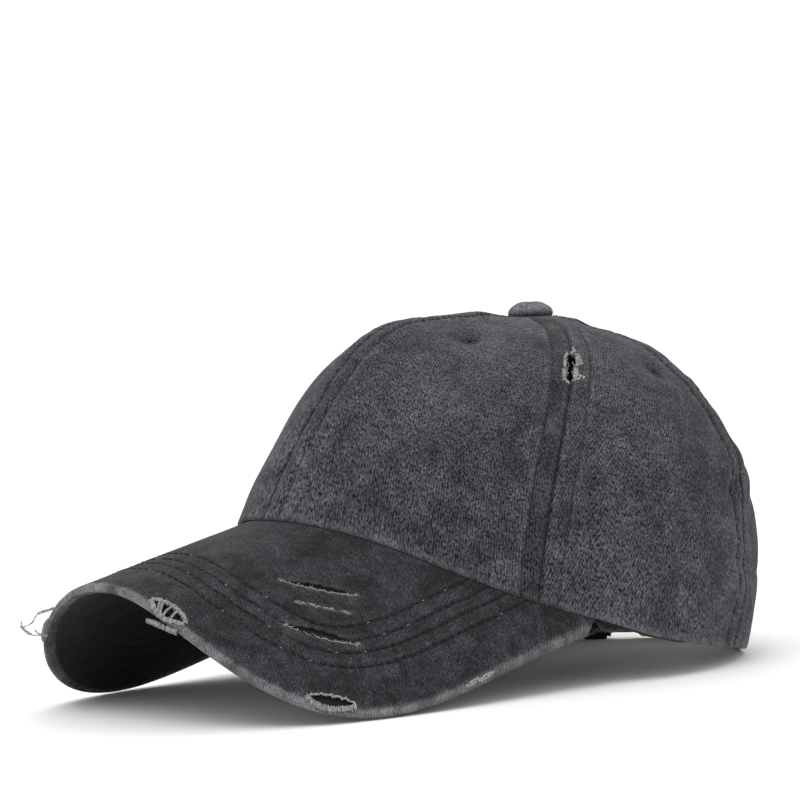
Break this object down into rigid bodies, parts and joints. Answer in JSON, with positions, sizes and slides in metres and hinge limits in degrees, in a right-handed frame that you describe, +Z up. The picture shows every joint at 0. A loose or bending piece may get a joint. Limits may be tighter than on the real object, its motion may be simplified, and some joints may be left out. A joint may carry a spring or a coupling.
{
  "type": "ponytail baseball cap",
  "caption": "Soft washed-cotton baseball cap with a curved worn brim, a teardrop ponytail opening at the back and a strap with a metal clamp buckle.",
  "frame": {"origin": "under the middle of the whole cap's bounding box, on the surface it rests on", "axes": "+Z up, -Y towards the front of the brim, +X towards the wearer's left"},
  "size_m": [0.1796, 0.2666, 0.1303],
  "materials": {
    "front_panel_left": "washed twill",
    "front_panel_right": "washed twill",
    "side_panel_left": "washed twill",
    "side_panel_right": "washed twill",
    "back_panel_left": "washed twill",
    "back_panel_right": "washed twill",
    "top_button": "washed twill over a round button",
    "brim_top": "washed twill, worn and slashed",
    "brim_board": "dark stiff board",
    "brim_under": "dark twill",
    "sweatband": "dark folded tape",
    "ponytail_binding": "folded twill binding",
    "arch_binding": "folded twill binding",
    "strap": "washed twill, topstitched",
    "strap_tab": "washed twill, topstitched",
    "buckle_frame": "satin wire",
    "buckle_lever": "satin stamped plate"
  },
  "bodies": {
    "root": {"front_panel_left": "front_panel_left", "front_panel_right": "front_panel_right", "side_panel_left": "side_panel_left", "side_panel_right": "side_panel_right", "back_panel_left": "back_panel_left", "back_panel_right": "back_panel_right", "top_button": "top_button", "brim_top": "brim_top", "brim_board": "brim_board", "brim_under": "brim_under", "sweatband": "sweatband", "ponytail_binding": "ponytail_binding", "arch_binding": "arch_binding", "strap": "strap", "strap_tab": "strap_tab", "buckle_frame": "buckle_frame", "buckle_lever": "buckle_lever"}
  },
  "joints": []
}
